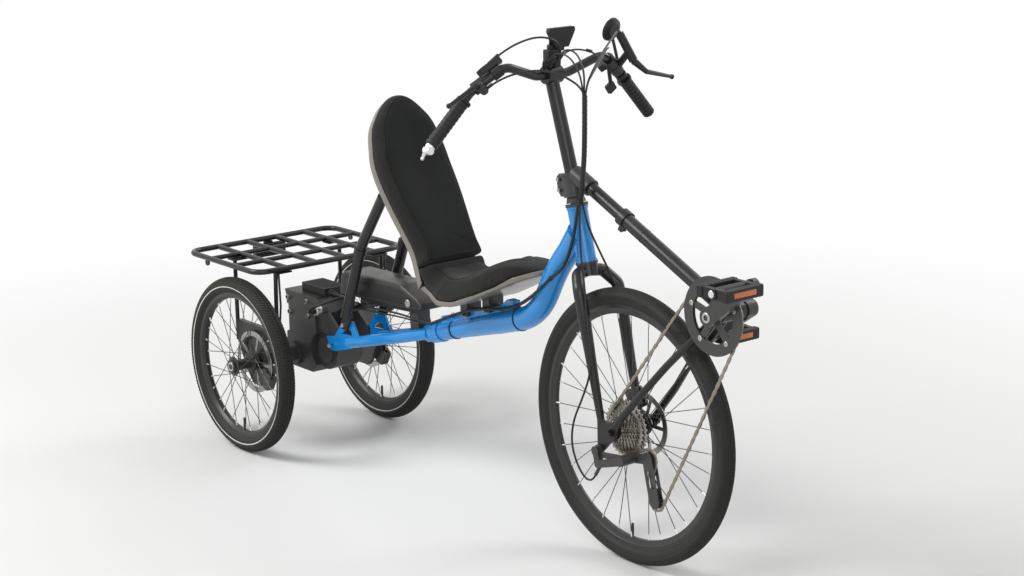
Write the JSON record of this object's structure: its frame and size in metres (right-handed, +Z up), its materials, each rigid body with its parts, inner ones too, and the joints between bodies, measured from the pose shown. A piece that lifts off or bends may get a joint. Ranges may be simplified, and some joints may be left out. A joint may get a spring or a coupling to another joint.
{
  "type": "recumbent trike",
  "caption": "Recumbent trike with one chain-driven steered front wheel, two rear wheels, a reclined padded seat, rear rack and battery drive unit.",
  "frame": {"origin": "on the ground under the middle of the trike's length", "axes": "+X forward, +Y to the rider's left, +Z up; the wheels turn about Y"},
  "size_m": [2.1715, 0.73, 1.288],
  "materials": {
    "frame_paint": "gloss azure paint",
    "black_paint": "satin black paint",
    "black_plastic": "moulded matt",
    "shell_plastic": "glossy grey-beige moulding",
    "seat_fabric": "woven mesh over foam",
    "tyre_rubber": "moulded tread",
    "soft_rubber": "ribbed grip",
    "rim_alloy": "anodised black rim, bright spokes",
    "steel": "brushed",
    "sprocket_steel": "nickel-plated sprockets",
    "chain_steel": "oiled links",
    "alloy": "bright alloy",
    "black_alloy": "anodised black",
    "lamp_red": "red lens"
  },
  "bodies": {
    "frame": {"main_frame": "frame_paint", "rear_fork": "frame_paint", "seat_stays": "black_paint", "seat_clamps": "black_alloy", "seat_back_shell": "shell_plastic", "seat_pan_shell": "shell_plastic", "back_cushion": "seat_fabric", "pan_cushion": "seat_fabric", "battery": "black_plastic", "battery_mount": "black_alloy", "drive_housing": "black_alloy", "controller_box": "black_plastic", "motor": "black_alloy", "axle_beam": "black_alloy", "rear_calipers": "black_alloy", "rack_deck": "black_paint", "rack_legs": "black_paint", "tail_lamp": "lamp_red", "frame_cables": "soft_rubber"},
    "steering": {"fork": "black_paint", "stem_clamp": "black_alloy", "riser": "black_paint", "handlebar": "black_alloy", "grips": "soft_rubber", "bar_end_shifter": "alloy", "brake_levers": "black_alloy", "handlebar_controls": "black_plastic", "display": "black_plastic", "mirror": "black_plastic", "boom_inner": "black_paint", "boom_outer": "black_paint", "chainstays": "black_paint", "derailleur": "black_alloy", "chain": "chain_steel", "front_caliper": "black_alloy", "steering_cables": "soft_rubber", "gear_housing": "soft_rubber", "brake_hose": "soft_rubber"},
    "right_rear_wheel": {"rear_tyre_right": "tyre_rubber", "rear_wheel_right": "rim_alloy", "rear_rotor_right": "steel"},
    "left_rear_wheel": {"rear_tyre_left": "tyre_rubber", "rear_wheel_left": "rim_alloy", "rear_rotor_left": "steel"},
    "front_wheel_set": {"front_tyre": "tyre_rubber", "front_wheel": "rim_alloy", "front_rotor": "steel", "cassette": "sprocket_steel"},
    "crankset": {"chainring": "black_alloy", "crank_right": "black_alloy", "crank_left": "black_alloy"},
    "right_pedal": {"pedal_right": "black_plastic"},
    "left_pedal": {"pedal_left": "black_plastic"}
  },
  "joints": [
    {"name": "steering", "type": "hinge", "parent": "frame", "child": "steering", "pos_m": [0.4093, 0, 0.723], "axis": [-0.2487, 0, 0.9686], "range_deg": [-40, 40]},
    {"name": "front_wheel_spin", "type": "hinge", "parent": "steering", "child": "front_wheel_set", "pos_m": [0.5723, 0, 0.344], "axis": [0, 1, 0], "continuous": true},
    {"name": "right_rear_wheel_spin", "type": "hinge", "parent": "frame", "child": "right_rear_wheel", "pos_m": [-0.8227, -0.243, 0.254], "axis": [0, 1, 0], "continuous": true},
    {"name": "left_rear_wheel_spin", "type": "hinge", "parent": "frame", "child": "left_rear_wheel", "pos_m": [-0.8227, 0.243, 0.254], "axis": [0, 1, 0], "continuous": true},
    {"name": "crank_turn", "type": "hinge", "parent": "steering", "child": "crankset", "pos_m": [0.9003, 0, 0.693], "axis": [0, 1, 0], "continuous": true},
    {"name": "right_pedal_turn", "type": "hinge", "parent": "crankset", "child": "right_pedal", "pos_m": [1.03783, -0.135, 0.79292], "axis": [0, 1, 0], "continuous": true},
    {"name": "left_pedal_turn", "type": "hinge", "parent": "crankset", "child": "left_pedal", "pos_m": [0.76277, 0.135, 0.59308], "axis": [0, 1, 0], "continuous": true}
  ]
}
